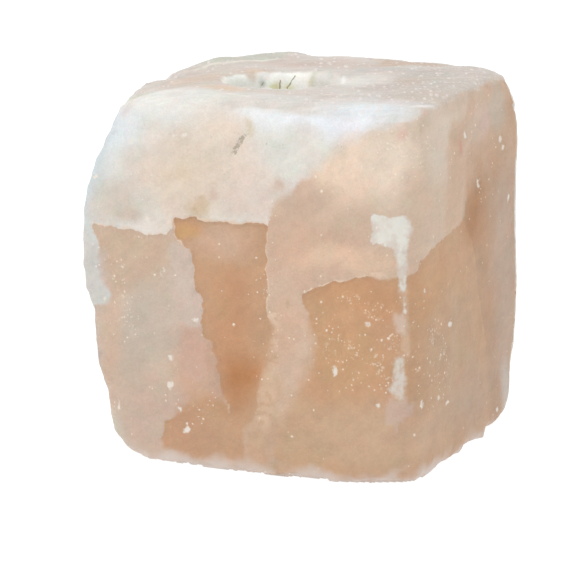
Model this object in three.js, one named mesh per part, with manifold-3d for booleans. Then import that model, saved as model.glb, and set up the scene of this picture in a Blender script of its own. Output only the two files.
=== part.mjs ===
// A hewn, roughly cubic block of pink rock salt (halite), with a round hollow
// drilled into its top for a small candle. One solid, in millimetres, +Z up.
// The origin is on the face it rests on, under the middle of the block.
import * as THREE from "three";
import { ImprovedNoise } from "three/addons/math/ImprovedNoise.js";
import { mergeVertices } from "three/addons/utils/BufferGeometryUtils.js";
import Module from "manifold-3d";

// Driving dimensions: the block from hewn face to hewn face, and the hollow inside its walls
const WIDTH = 126;
const DEPTH = 119;
const HEIGHT = 132;
const HOLLOW_DIAMETER = 40;
const HOLLOW_DEPTH = 24;
const HOLLOW_CENTRE = new THREE.Vector2(-5.5, -6.5);

// The skin: cells along a side, how much smaller they are beside an edge, how tightly faces meet,
// and how much is sawn off underneath to leave a flat face to rest on
const CELLS = 25;
const CROWDING = 0.22;
const EDGE_SHARPNESS = 28;
const BASE_TRIM = 2;

// Each hewn face looks one way: turn is round from the front (0 front, 90 right,
// 180 back, -90 left), tilt is above the horizon, and out is how far the face
// lies from the middle of the block.
const HEWN_FACES = [
  { name: "front", turn: 1, tilt: 1, out: DEPTH / 2 - 1.5 },
  { name: "right", turn: 91, tilt: 0, out: WIDTH / 2 + 0.5 },
  { name: "back", turn: 178, tilt: 2, out: DEPTH / 2 + 1.5 },
  { name: "left", turn: -90, tilt: -1, out: WIDTH / 2 - 0.5 },
  { name: "top", turn: -20, tilt: 89, out: HEIGHT / 2 - 0.4 },
  { name: "underside", turn: 0, tilt: -90, out: HEIGHT / 2 + BASE_TRIM },
  { name: "front top edge", turn: 2, tilt: 42, out: 83.5 },
  { name: "near upright edge", turn: 46, tilt: 0, out: 82 },
  { name: "near heel", turn: 30, tilt: -48, out: 97 },
  { name: "upper left lean", turn: -70, tilt: 18, out: 82 },
  { name: "left shoulder", turn: -68, tilt: 35, out: 87 },
  { name: "left top slope", turn: -100, tilt: 68, out: 79.7 },
  { name: "lower left lean", turn: -62, tilt: -17, out: 82.1 },
  { name: "left heel", turn: -58, tilt: -46, out: 96.5 },
  { name: "right lower lean", turn: 111, tilt: -9, out: 85 },
  { name: "right heel", turn: 106, tilt: -25, out: 99.5 },
  { name: "right base", turn: 98, tilt: -51, out: 92 },
  { name: "right shoulder", turn: 125, tilt: 40, out: 100 },
  { name: "back upright edge", turn: -138, tilt: 4, out: 80 },
  { name: "back base", turn: 176, tilt: -42, out: 86 },
];

// Shallow dents where flakes have come away: where each lies, how wide and how deep it is.
const DENTS = [
  { turn: -64, tilt: -14, wide: 34, deep: 1.6 },
  { turn: 113, tilt: 32, wide: 28, deep: 2.2 },
  { turn: -22, tilt: 38, wide: 30, deep: 0.9 },
  { turn: 52, tilt: 36, wide: 22, deep: 1.2 },
  { turn: 24, tilt: -10, wide: 40, deep: 0.7 },
  { turn: 150, tilt: 36, wide: 34, deep: 2.2 },
  { turn: -150, tilt: -30, wide: 38, deep: 2.6 },
  { turn: -134, tilt: 18, wide: 44, deep: 2.6 },
  { turn: 149, tilt: -14, wide: 36, deep: 2 },
  { turn: 176, tilt: -6, wide: 60, deep: 1.8 },
  { turn: -96, tilt: 14, wide: 50, deep: 1.4 },
  { turn: -104, tilt: -38, wide: 30, deep: 2 },
];

// Ledges left where a layer of the salt broke off short
const LEFT_LEDGE = { below: 61, step: 2.2, fade: 30, nearSide: -45 };
const TOP_LEDGE = { from: new THREE.Vector2(-45, 11), to: new THREE.Vector2(-29, 42), step: 2.3 };
const LEDGE_WANDER = 3;

// The lumps all over the skin, from noise at two sizes
const LUMPS = [
  { across: 36, rise: 1.1 },
  { across: 14, rise: 0.8 },
];

// The hollow's rough wall, floor corner and worn rim
const WALL_ROUGHNESS = 0.045;
const FLOOR_CORNER = 1;
const RIM_DROP = 3.5;
const RIM_FLARE = 2.2;
const AROUND = 48;

const { degToRad, smoothstep } = THREE.MathUtils;
const noise = new ImprovedNoise();

// The unit vector for a turn and a tilt.
function facing(turn, tilt) {
  const level = Math.cos(degToRad(tilt));
  const sideways = Math.sin(degToRad(turn)) * level;
  const backwards = -Math.cos(degToRad(turn)) * level;
  return new THREE.Vector3(sideways, backwards, Math.sin(degToRad(tilt)));
}

const faces = HEWN_FACES.map(({ turn, tilt, out }) => ({ normal: facing(turn, tilt), out }));

// How far the hewn faces lie along a ray, run softly together, as a multiple of the ray.
function along(ray) {
  let sum = 0;
  for (const { normal, out } of faces) {
    sum += Math.max(0, normal.dot(ray) / out) ** EDGE_SHARPNESS;
  }
  return sum ** (-1 / EDGE_SHARPNESS);
}

const dents = DENTS.map(({ turn, tilt, wide, deep }) => {
  const ray = facing(turn, tilt);
  return { centre: ray.multiplyScalar(along(ray)), wide, deep };
});

// How far the skin stands proud of the smooth shape, at a point of it seen from the middle.
function relief(point) {
  const { x, y, z } = point;
  let rise = 0;
  for (const lumps of LUMPS) {
    rise += lumps.rise * noise.noise(x / lumps.across + 7.3, y / lumps.across + 2.1, z / lumps.across + 4.7);
  }
  for (const { centre, wide, deep } of dents) {
    rise -= deep * (1 - smoothstep(point.distanceTo(centre), wide * 0.2, wide * 0.5));
  }
  return rise + leftLedge(x, y, z) + topLedge(x, y, z);
}

// The left side steps in under a wandering line, and comes out again lower down.
function leftLedge(x, y, z) {
  const under = LEFT_LEDGE.below + LEDGE_WANDER * noise.noise(x / 11, y / 11, 9.4) - z - HEIGHT / 2;
  const onLeft = smoothstep(-x, -LEFT_LEDGE.nearSide, -LEFT_LEDGE.nearSide + 10);
  return -LEFT_LEDGE.step * onLeft * smoothstep(under, 0, 3) * (1 - smoothstep(under, 4, LEFT_LEDGE.fade));
}

// A layer still stands at the back left of the top, beyond a line across it.
function topLedge(x, y, z) {
  const { from, to, step } = TOP_LEDGE;
  const beyond = ((to.y - from.y) * (from.x - x) + (to.x - from.x) * (y - from.y)) / from.distanceTo(to);
  const wander = LEDGE_WANDER * noise.noise(x / 13, y / 9, 1.7);
  return step * smoothstep(beyond + wander, 0, 3) * smoothstep(z, HEIGHT / 2 - 12, HEIGHT / 2 - 6);
}

// Moves a place on a cube's face, from -1 to 1, towards the face's edges.
function crowd(u) {
  return u * (1 + CROWDING * (1 - u * u));
}

// The whole outside, still closed over the hollow and not yet flat underneath.
function skin() {
  const geometry = new THREE.BoxGeometry(2, 2, 2, CELLS, CELLS, CELLS);
  const position = geometry.attributes.position;
  const half = new THREE.Vector3(WIDTH / 2, DEPTH / 2, HEIGHT / 2);
  const point = new THREE.Vector3();
  for (let i = 0; i < position.count; i++) {
    point.fromBufferAttribute(position, i);
    point.set(crowd(point.x), crowd(point.y), crowd(point.z)).multiply(half);
    point.multiplyScalar(along(point));
    point.addScaledVector(point.clone().normalize(), relief(point));
    position.setXYZ(i, point.x, point.y, point.z + HEIGHT / 2);
  }
  return geometry;
}

// What the drill takes away: a round pit with a flat floor, a rough wall and a worn rim.
function pit() {
  const radius = HOLLOW_DIAMETER / 2;
  const floor = HEIGHT - HOLLOW_DEPTH;
  const wallFoot = floor + FLOOR_CORNER;
  const rim = HEIGHT - RIM_DROP;
  const rings = 5;
  const profile = [new THREE.Vector2(0, floor), new THREE.Vector2(radius - FLOOR_CORNER, floor)];
  for (let i = 0; i <= rings; i++) {
    profile.push(new THREE.Vector2(radius, wallFoot + ((rim - wallFoot) * i) / rings));
  }
  profile.push(new THREE.Vector2(radius + RIM_FLARE, HEIGHT));
  profile.push(new THREE.Vector2(radius + RIM_FLARE, HEIGHT + RIM_DROP));
  profile.push(new THREE.Vector2(0, HEIGHT + RIM_DROP));
  const geometry = new THREE.LatheGeometry(profile, AROUND).rotateX(Math.PI / 2);
  const position = geometry.attributes.position;
  for (let i = 0; i < position.count; i++) {
    const x = position.getX(i);
    const y = position.getY(i);
    const z = position.getZ(i);
    const rough = z < wallFoot ? 1 : 1 + WALL_ROUGHNESS * noise.noise(x / 5, y / 5, z / 7);
    position.setXYZ(i, x * rough, y * rough, z);
  }
  return geometry.translate(HOLLOW_CENTRE.x, HOLLOW_CENTRE.y, 0);
}

const wasm = await Module();
wasm.setup();

function solid(geometry) {
  geometry.deleteAttribute("normal");
  geometry.deleteAttribute("uv");
  const merged = mergeVertices(geometry, 1e-3);
  const triVerts = new Uint32Array(merged.index.array);
  const vertProperties = merged.attributes.position.array;
  return new wasm.Manifold(new wasm.Mesh({ numProp: 3, vertProperties, triVerts }));
}

function geometryOf(manifold) {
  const { vertProperties, triVerts } = manifold.getMesh();
  const geometry = new THREE.BufferGeometry();
  geometry.setAttribute("position", new THREE.BufferAttribute(vertProperties, 3));
  geometry.setIndex(new THREE.BufferAttribute(triVerts, 1));
  geometry.computeVertexNormals();
  return geometry;
}

const waste = new THREE.BoxGeometry(2 * WIDTH, 2 * DEPTH, HEIGHT).translate(0, 0, -HEIGHT / 2);
const drilled = solid(skin()).subtract(solid(waste)).subtract(solid(pit()));

const salt = new THREE.MeshStandardMaterial({ color: 0xd3b299, roughness: 0.55, metalness: 0 });
const block = new THREE.Mesh(geometryOf(drilled), salt);
block.name = "salt_block";

const part = new THREE.Group();
part.add(block);
export default part;
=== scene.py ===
"""The visual model of a hewn block of pink rock salt, drilled in its top for a small candle.

The block is one piece of salt in three layers. The cloudy crust still covers the shoulder, the top and the
upper front. Where it has flaked away the paler skin shows, and where that has gone too, the orange heart.
"""
import logging
import math
from dataclasses import dataclass, field
from enum import Enum
from functools import reduce

import bmesh
import bpy
import numpy as np
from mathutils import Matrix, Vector, noise


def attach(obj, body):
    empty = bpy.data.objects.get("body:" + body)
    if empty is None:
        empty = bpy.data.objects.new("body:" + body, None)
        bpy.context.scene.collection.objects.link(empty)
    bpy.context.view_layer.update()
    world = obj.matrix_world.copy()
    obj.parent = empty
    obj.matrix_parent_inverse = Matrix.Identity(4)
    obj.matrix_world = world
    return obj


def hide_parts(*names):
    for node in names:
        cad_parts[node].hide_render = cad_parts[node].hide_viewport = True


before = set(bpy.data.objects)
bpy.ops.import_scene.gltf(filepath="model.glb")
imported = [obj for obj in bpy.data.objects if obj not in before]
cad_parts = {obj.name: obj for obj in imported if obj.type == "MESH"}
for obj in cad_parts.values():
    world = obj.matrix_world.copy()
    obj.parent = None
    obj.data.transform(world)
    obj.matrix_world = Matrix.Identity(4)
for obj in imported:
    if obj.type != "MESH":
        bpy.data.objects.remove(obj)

log = logging.getLogger("salt_block")
Colour = tuple[int, int, int]
Place = tuple[float, float]
Point = tuple[float, float, float]
Socket = bpy.types.NodeSocket

MM = 0.001

# How much of the hollow's wall lies in one degree round it, in millimetres
HOLLOW_ARC = math.radians(20)
# Distances to an edge are kept up to this many millimetres
EDGE_REACH = 20
# The width in millimetres of an edge that counts as sharp
SHARP = 0.25


def linear(colour: Colour) -> np.ndarray:
    """Turns a screen colour, from 0 to 255, into the linear one from 0 to 1 that the shader wants."""
    screen = np.array(colour, float) / 255
    return np.where(screen <= 0.04045, screen / 12.92, ((screen + 0.055) / 1.055) ** 2.4)


def ease(value: np.ndarray, low: float, high: float) -> np.ndarray:
    """Goes smoothly from 0 at low to 1 at high, which may be the smaller of the two."""
    t = np.clip((value - low) / (high - low), 0, 1)
    return t * t * (3 - 2 * t)


def rough(points: np.ndarray, across: float, seed: float, octaves: int = 2) -> np.ndarray:
    """Smooth noise at each point, about -1 to 1, with its largest lumps as many millimetres across."""
    shift = Vector((seed, 1.7 * seed, -2.3 * seed))
    return np.array([noise.fractal(Vector(p) / across + shift, 0.9, 2.1, octaves) for p in points])


def near(places: np.ndarray, centre: Place, reach: Place, none: float, full: float) -> np.ndarray:
    """How close each place is to a centre: 1 within so many reaches of it, and 0 where there is none."""
    return ease(np.linalg.norm((places - centre) / np.array(reach, float), axis=1), none, full)


def to_line(places: np.ndarray, path: tuple[Place, ...] | tuple[Point, ...]) -> np.ndarray:
    """How far each place is from a line.

    Args:
        places: flat or solid places in millimetres, one row each.
        path: the places that the line runs through, in order.

    Returns:
        One distance for each place.
    """
    nearest = np.full(len(places), np.inf)
    for start, end in zip(path, path[1:]):
        along = np.subtract(end, start, dtype=float)
        t = np.clip((places - start) @ along / (along @ along), 0, 1)
        nearest = np.minimum(nearest, np.linalg.norm(places - start - t[:, None] * along, axis=1))
    return nearest


def distance_in(places: np.ndarray, outline: tuple[Place, ...]) -> np.ndarray:
    """The distance to a closed outline, positive inside it.

    Args:
        places: flat places in millimetres, one row each.
        outline: the outline's corners in millimetres, in order.

    Returns:
        One distance for each place.
    """
    closed = outline + outline[:1]
    inside = np.zeros(len(places), bool)
    for a, b in zip(closed, closed[1:]):
        if a[1] != b[1]:
            crosses = (a[1] > places[:, 1]) != (b[1] > places[:, 1])
            inside ^= crosses & (places[:, 0] < (b[0] - a[0]) * (places[:, 1] - a[1]) / (b[1] - a[1]) + a[0])
    away = to_line(places, closed)
    return np.where(inside, away, -away)


class Layer(Enum):
    """The salt's layers: the crust and its upper side, the skin, the heart, and a duller rim on the right."""

    CRUST = "crust"
    TOP = "top"
    SKIN = "skin"
    HEART = "heart"
    RIM = "rim"


@dataclass(frozen=True)
class Patch:
    """A soft cloud of colour in one layer.

    On the sides of the block a place is the way round the wall in millimetres, from 0 in the middle of the
    front to 63 at the near edge and on round it, and the height. On the top it is x and y.
    """

    name: str
    centre: Place
    reach: Place
    colour: Colour


@dataclass(frozen=True)
class Veil:
    """A flat cloud of colour in one layer, with an outline and a narrow blur in millimetres."""

    layer: Layer
    name: str
    outline: tuple[Place, ...]
    colour: Colour
    strength: float = 0.9
    blur: float = 0.7


@dataclass(frozen=True)
class Vein:
    """A thin line of another colour over the crust, along the front's top edge a painted highlight: its path
    in x, y and z, its half width and its colour.
    """

    path: tuple[Point, ...]
    width: float
    colour: Colour
    strength: float = 0.8


@dataclass(frozen=True)
class Stretch:
    """A stretch of the wall and how much it has there: millimetres of blur, strength of a lip, or dust."""

    centre: Place
    reach: Place
    amount: float


@dataclass(frozen=True)
class Nudge:
    """A small push that brings the outline closer to the real block's: its place, its reach and its move."""

    centre: Point
    reach: float
    move: Point


@dataclass(frozen=True)
class Spot:
    """A small round mark on the wall: its place, its radius and how much taller than wide it is."""

    centre: Place
    radius: float
    tall: float = 1.0

    def away(self, walls: np.ndarray) -> np.ndarray:
        """How far each place on the wall is from the spot's middle."""
        return np.linalg.norm((walls - self.centre) / (1, self.tall), axis=1)


PATCHES = {
    Layer.CRUST: (
        Patch("blue-white shoulder", (-47, 111), (18, 26), (222, 234, 240)),
        # Painted light: the backdrop's light along the left silhouette, in blue-white
        Patch("blue-white left rim", (-60, 98), (8, 22), (201, 216, 222)),
        Patch("grey strip at the left rim", (-57, 66), (15, 22), (206, 205, 199)),
        Patch("tan along the right top edge", (112, 131), (60, 9), (214, 196, 178)),
        Patch("milky streak down the middle", (-33, 118), (7, 9), (228, 232, 232)),
        Patch("milky streak beside the pit", (6, 108), (5, 12), (228, 222, 214)),
        Patch("cream upper middle", (-21, 104), (34, 19), (224, 208, 191)),
        Patch("warm streak over the pit", (-6, 121), (12, 7), (228, 212, 196)),
        Patch("white band under the top edge", (34, 126), (36, 7), (234, 238, 243)),
        Patch("pale right of the pit", (20, 115), (16, 9), (224, 222, 214)),
        Patch("pinkish over the wedge", (8, 97), (18, 8), (220, 206, 195)),
        Patch("grey-beige over the left field", (-48, 92), (12, 8), (212, 203, 190)),
        Patch("beige blotch", (-26, 104.5), (6, 3.6), (221, 203, 182)),
        Patch("stained cluster", (-18, 94), (4.5, 4), (213, 191, 166)),
        Patch("pink-brown spot", (-11, 98.5), (2.8, 2.6), (213, 190, 175)),
        Patch("beige-pink over the left field", (-42, 88), (7, 3), (207, 192, 179)),
        Patch("brown spot by the diagonal", (17, 101.5), (3.6, 2.6), (212, 192, 176)),
        Patch("lilac blotch on the shoulder", (-52, 124.6), (3.5, 3), (217, 212, 212)),
        Patch("greenish spot beyond the pit", (4.6, 121), (2, 2.6), (217, 206, 184)),
        Patch("milky under the left top edge", (-35, 124.5), (17, 5.5), (230, 229, 224)),
        Patch("pink spot at the near corner", (76.5, 127.5), (3, 2.2), (222, 194, 180)),
    ),
    Layer.TOP: (
        Patch("pale chip at the corner", (61, 13), (3.5, 6), (232, 230, 224)),
        Patch("milky green below the front edge", (57, -46), (5, 5), (226, 226, 214)),
        Patch("cream below the right edge", (60, -36), (4, 7), (224, 209, 190)),
        Patch("white blotch at the right edge", (57, -33), (8, 5), (232, 228, 220)),
        Patch("pinkish front strip", (2, -49), (10, 5), (226, 212, 202)),
        Patch("cream left of the front strip", (-12, -51), (8, 5), (226, 224, 211)),
        Patch("cream blotch at the right corner", (57, 12), (6, 9), (230, 220, 208)),
        Patch("rosy beside the corner", (38, -12), (9, 12), (214, 198, 190)),
        Patch("grey stretch at the back right", (24, 24), (14, 9), (204, 198, 194)),
        Patch("milky lobe", (-28, -4), (5, 8), (240, 240, 232)),
        Patch("pink between lobe and wall", (-22, 10), (7, 6), (222, 200, 181)),
        Patch("pink right of the hollow", (26, 14), (8, 9), (220, 200, 188)),
        Patch("tan right corner", (54, -20), (12, 34), (212, 196, 180)),
        Patch("pink left", (-34, -13), (18, 21), (213, 196, 180)),
        Patch("grey-green ledge", (-45, 30), (12, 18), (204, 203, 190)),
        Patch("grainy grey right", (45, 7), (24, 39), (202, 193, 184)),
        Patch("pale near the front", (16, -42), (31, 18), (224, 220, 214)),
        Patch("white right of the hollow", (22, 0), (9, 16), (228, 224, 216)),
        Patch("beige before the hollow", (3, -36), (16, 5), (217, 205, 195)),
        Patch("pink behind the hollow", (-10, 34), (28, 12), (213, 196, 185)),
        Patch("grey right of the orange", (20, -33), (12, 6), (214, 204, 196)),
        Patch("milky left slope", (-32, -50), (22, 12), (236, 235, 229)),
        Patch("greenish blotch on the shoulder", (-42, -44), (6, 5), (210, 210, 193)),
        Patch("orange left of the hollow's front", (-17, -36), (12, 6), (224, 202, 180)),
        Patch("lilac strip at the front right", (48, -37), (15, 5), (217, 212, 209)),
        Patch("bluish front right", (43, -49), (17, 8), (229, 234, 237)),
    ),
    Layer.SKIN: (
        Patch("top of the left field", (-40, 78), (16, 7), (200, 178, 158)),
        Patch("milky left field", (-38, 52), (18, 22), (198, 184, 169)),
        Patch("grey lower left rim", (-66, 30), (9, 36), (188, 176, 168)),
        Patch("warm left rim", (-51, 43), (5, 30), (205, 180, 160)),
        Patch("pink lower left", (-34, 16), (20, 15), (202, 178, 162)),
        Patch("lilac beside the left rim", (-52.5, 69), (3, 8), (205, 193, 187)),
        Patch("mauve tongue", (-21, 64), (7, 19), (205, 186, 172)),
        Patch("pink step", (-18, 43), (6, 11), (208, 176, 156)),
        Patch("pink middle", (25, 81), (20, 13), (208, 178, 155)),
        Patch("light band", (43, 78), (20, 5), (222, 193, 168)),
        Patch("orange under the diagonal", (42, 110), (16, 11), (238, 212, 189)),
        Patch("cream near edge", (63, 114), (24, 15), (228, 212, 194)),
        Patch("pink right of the wedge", (19, 52), (7, 15), (212, 180, 156)),
        Patch("low right of the wedge", (11, 27), (8, 15), (205, 172, 144)),
        Patch("left of the right face", (91, 101), (23, 22), (212, 188, 165)),
        Patch("pink over the orange bottom", (-17, 29), (8, 9), (206, 171, 148)),
        Patch("grey-green left heel", (-56, 9), (9, 8), (206, 202, 188)),
        Patch("foot right of the wedge", (9, 10), (10, 16), (199, 168, 141)),
        Patch("grey-cream beside the near edge", (88, 115), (13, 14), (216, 199, 182)),
        Patch("pink spot under the near corner", (64.8, 123.3), (2.2, 2.2), (222, 192, 178)),
        Patch("cream below the corner", (104, 120), (12, 7), (218, 202, 184)),
    ),
    Layer.HEART: (
        Patch("wedge top", (-9, 82), (16, 7), (205, 173, 149)),
        Patch("wedge deep", (-3, 51), (10, 22), (196, 152, 118)),
        Patch("wedge corner", (-23, 85), (4.5, 3.5), (204, 164, 120)),
        Patch("wedge foot", (1, 30), (8, 15), (184, 130, 88)),
        Patch("orange bottom", (-15, 11), (18, 9), (196, 157, 128)),
        Patch("deep under the bright line", (45, 67), (18, 7), (200, 155, 118)),
        Patch("deep middle", (40, 47), (16, 19), (201, 161, 124)),
        Patch("lower middle", (24, 18), (28, 15), (198, 166, 136)),
        Patch("near edge low", (63, 17), (38, 13), (202, 172, 145)),
        Patch("right of the near edge", (87, 66), (20, 15), (202, 160, 122)),
        Patch("right face middle", (108, 44), (28, 22), (192, 161, 131)),
        Patch("brown band", (128, 86), (14, 11), (190, 144, 105)),
        Patch("right face top", (133, 115), (19, 15), (208, 184, 164)),
        # Painted light: the white backdrop's greyish-mauve light along the right silhouette
        Patch("mauve right rim", (163, 60), (15, 62), (199, 172, 150)),
        Patch("right face low", (126, 18), (28, 15), (192, 164, 140)),
        Patch("tan over the brown band", (132, 103), (14, 8), (200, 166, 138)),
        # Painted light: the backdrop's grey light along the silhouette at the heel
        Patch("grey rim of the heel", (165, 12), (7, 12), (211, 197, 183)),
        Patch("tan corner", (153, 121), (13, 9), (200, 184, 166)),
        Patch("rosy under the corner", (140, 117), (7, 5), (210, 182, 168)),
    ),
}

VEILS = (
    Veil(Layer.SKIN, "mauve tongue", (
        (-29, 77), (-27, 80), (-22, 79), (-20, 77), (-12, 69), (-8, 60), (-8, 50), (-14, 50), (-19, 50),
        (-22, 53), (-21, 60), (-24, 65), (-27, 72),
    ), (207, 190, 177)),
    Veil(Layer.SKIN, "pink step", (
        (-21, 50), (-17, 51), (-14, 50), (-14, 41), (-13.5, 34), (-16, 31), (-21, 33), (-22, 42),
    ), (206, 174, 156)),
    Veil(Layer.SKIN, "strip beside the wedge", (
        (-13.5, 47), (-4, 47), (-4, 20), (-9, 22), (-12, 28), (-13.5, 36),
    ), (200, 168, 146)),
    Veil(Layer.SKIN, "warm top of the left field", (
        (-56, 80), (-48, 83), (-38, 82), (-30, 80), (-28, 74), (-33, 66), (-44, 60), (-52, 62),
    ), (202, 177, 153), 0.6, 4.0),
    Veil(Layer.HEART, "pale tail down the near edge", (
        (63.5, 70), (66.5, 70), (67, 62), (67.5, 53), (68, 46), (63.5, 46), (63.5, 56),
    ), (214, 186, 162), 0.6, 1.0),
    Veil(Layer.HEART, "milky smudge in the tail", (
        (60, 62), (64, 62), (66, 58), (65.5, 54), (62, 54.5), (60, 58),
    ), (222, 205, 190), 0.7, 0.9),
    Veil(Layer.HEART, "pinkish patch under the low bruise", (
        (58.5, 33), (62, 32), (66, 33), (68, 29.5), (71, 30), (71.5, 25), (67, 25.5), (65, 23), (63, 24),
        (61.3, 19.5), (59.5, 22.5), (57.3, 24.5), (57.5, 28),
    ), (208, 183, 169), 0.75),
    Veil(Layer.SKIN, "tan strip beside the brown band", (
        (96, 84), (97.5, 97), (97.5, 112), (103, 122), (125, 122), (125, 80), (110, 80),
    ), (204, 174, 148), 0.8, 2.5),
    Veil(Layer.SKIN, "salmon spot", (
        (110, 114.4), (112.6, 114.2), (113, 110), (110.6, 109.6),
    ), (208, 156, 137)),
    Veil(Layer.TOP, "raised ledge", (
        (-46, 15), (-44.4, 16.5), (-40, 18.5), (-38, 20.5), (-36.2, 28), (-32, 34), (-28, 40), (-27, 64),
        (-60, 64), (-52, 24),
    ), (206, 206, 194)),
)

VEINS = (
    Vein((
        (-49, 12, 130.6), (-44.4, 16.5, 131.5), (-40, 18.7, 131.6), (-38, 20.7, 131.7), (-36.2, 28.1, 132),
        (-31.9, 34, 132), (-28, 40.1, 132)), 0.7, (236, 231, 221)),
    Vein(((-10, -44, 131), (-1, -46.5, 131)), 0.5, (240, 236, 226)),
    Vein(((18, -35, 131), (28, -31.5, 131)), 0.5, (240, 236, 226)),
    # Painted highlight along the front's top edge
    Vein(((-2, -55.5, 128.4), (7, -55, 128.6), (16, -54.6, 128.6)), 1.0, (240, 244, 245), 0.6),
    Vein(((57, -42, 130.3), (60, -38, 130.4), (62, -34, 130)), 0.9, (238, 236, 232), 0.8),
    # Painted highlight along the front's top edge, further right
    Vein(((34, -49, 128.6), (42, -45, 129), (50, -39, 129.3)), 0.9, (242, 243, 242), 0.7),
    Vein(((-38, 0, 131), (-30, -4, 130.4), (-27, -8, 130)), 0.9, (232, 222, 208), 0.6),
    Vein(((36, 8, 132.4), (48, 13, 132.5), (58, 20, 132)), 0.8, (226, 212, 198), 0.5),
    Vein(((-28, 18, 132), (-12, 27, 132), (6, 33, 132)), 0.8, (226, 210, 194), 0.5),
)

# Small pushes that sharpen the heel's corners and settle the top
NUDGES = (
    Nudge((-45.5, -31.5, 130.2), 20, (1.0, 0.2, -1.2)),
    Nudge((-54, -4, 128), 24, (1.4, 0, -1.8)),
    Nudge((-57, 10, 128), 18, (0.8, 0, -1.6)),
    Nudge((-56, 12, 129), 11, (0, 0, 1.4)),
    Nudge((-52, -50, 117), 22, (1.4, 0.6, 0)),
    Nudge((-52, -50, 10), 18, (-1.8, -0.8, -1.2)),
    Nudge((63, 44, 6), 22, (2.2, 1.0, -1.5)),
    Nudge((61.5, 17, 2.5), 20, (0.9, 0, -0.6)),
    Nudge((61.5, 36, 4), 13, (0.6, 0.3, -0.4)),
    Nudge((55, 19, 2), 12, (1.8, 0.4, -0.6)),
    Nudge((63, -6, 4), 16, (1.2, 0, -0.6)),
    Nudge((63, 48, 46), 30, (1.5, 0.6, 0)),
    Nudge((-44, 23, 132), 16, (0, 0, 1.6)),
    Nudge((10, 48, 131.5), 30, (0, 0, 1.1)),
)

# Where the crust has flaked away from the skin: below the shoulder, the wedge's top and the diagonal.
SKIN_WINDOW = (
    (-58, 84), (-54, 84), (-49, 84), (-46, 83), (-41, 84), (-38, 83), (-36, 82), (-31, 82), (-27, 84),
    (-26, 89), (-20, 89), (-14, 89), (-10, 88), (-7, 88), (-4, 88), (3, 89), (7, 89), (11, 89), (12, 88),
    (13, 92), (16, 97), (21, 101), (26, 106), (32, 110), (36, 114), (42, 119), (48, 122), (55, 124),
    (61, 126), (65, 127.5), (75, 128), (100, 129), (130, 129), (190, 129), (190, -9), (-110, -9),
    (-110, 48), (-66, 53), (-58, 54.5), (-54, 55.5), (-51.5, 57.5), (-50.5, 60.2), (-52.2, 63),
    (-54.4, 65), (-55, 69), (-55, 74), (-55.3, 79),
)

# Where the skin is gone too, and the orange heart shows: the wedge, and most of the right.
WEDGE = (
    (-26, 89), (-20, 89), (-14, 89), (-10, 88), (-7, 88), (-4, 88), (3, 89), (7, 89), (11, 89), (13, 89),
    (11, 83), (11, 79), (12, 76), (11, 73), (12, 68), (12, 63), (12, 57), (15, 53), (14, 47), (13, 41),
    (10, 36), (7, 30), (8, 25), (5, 20), (2, 17), (2, 12), (2, 4), (-4, 3), (-15, 3), (-23, 4), (-28, 6),
    (-30, 9), (-29, 15), (-24, 20), (-18, 25), (-13, 27), (-7, 26), (-2, 19), (-4, 24), (-7, 29),
    (-8, 35), (-10, 45), (-13, 47), (-14, 47), (-15, 52), (-16, 56), (-15, 61), (-18, 65), (-19, 69),
    (-20, 78), (-22, 79), (-25, 81), (-26, 85),
)
RIGHT_WINDOW = (
    (25, 66), (29, 67), (33, 69), (38, 71), (41, 72), (46, 73), (50, 74), (54, 73), (57, 73), (61, 75),
    (65, 74), (70, 75), (75, 78), (81, 81), (89, 82), (102, 83), (107, 84.5), (113, 83.5), (119, 87),
    (120, 92), (119, 106), (119, 117), (121, 124), (124, 134), (190, 134), (190, -9), (14, -9), (14, 14),
    (16, 21), (20, 28), (24, 34), (28, 41), (30, 48), (28, 57), (26, 62),
)

# The duller salt beyond a seam down the right face
RIM_WINDOW = (
    (115, 88), (123, 81), (128, 71), (131, 59), (139, 45), (143, 31), (148, 18), (150, -9), (190, -9),
    (190, 96), (130, 98), (118, 94),
)

# Where a layer's edge is blurred, and by how many millimetres
SOFT_EDGES = {
    Layer.RIM: (
        Stretch((140, 97), (36, 9), 9.0), Stretch((149, 14), (16, 20), 7.0),
    ),
    Layer.SKIN: (
        Stretch((17, 98), (9, 9), 4.0), Stretch((38, 115), (22, 12), 8.0),
        Stretch((130, 129), (75, 12), 12.0), Stretch((62, 128), (16, 6), 8.0),
        Stretch((-54, 64), (8, 16), 2.2),
    ),
    Layer.HEART: (
        Stretch((22, 32), (14, 26), 9.0), Stretch((120, 114), (14, 31), 6.0),
        Stretch((150, 128), (32, 9), 9.0), Stretch((-14, 4), (24, 7), 4.0),
        Stretch((-19, 25), (13, 8), 6.0), Stretch((4, 14), (6, 12), 2.0), Stretch((60, 74), (9, 3), 1.5),
    ),
}

# Where a layer's edge catches the light as a thin pale line, and how strongly
LIPS = {
    Layer.HEART: (
        Stretch((34, 69), (10, 4), 1.0), Stretch((50, 73), (8, 4), 0.5), Stretch((-8, 89), (20, 4), 0.7),
        Stretch((13, 60), (4, 26), 0.55), Stretch((10, 30), (5, 14), 0.35),
        Stretch((-23, 84), (5, 6), 0.6),
    ),
    Layer.SKIN: (
        Stretch((-45, 84), (16, 4), 0.7), Stretch((-4, 89), (18, 3), 0.6),
    ),
}

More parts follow.
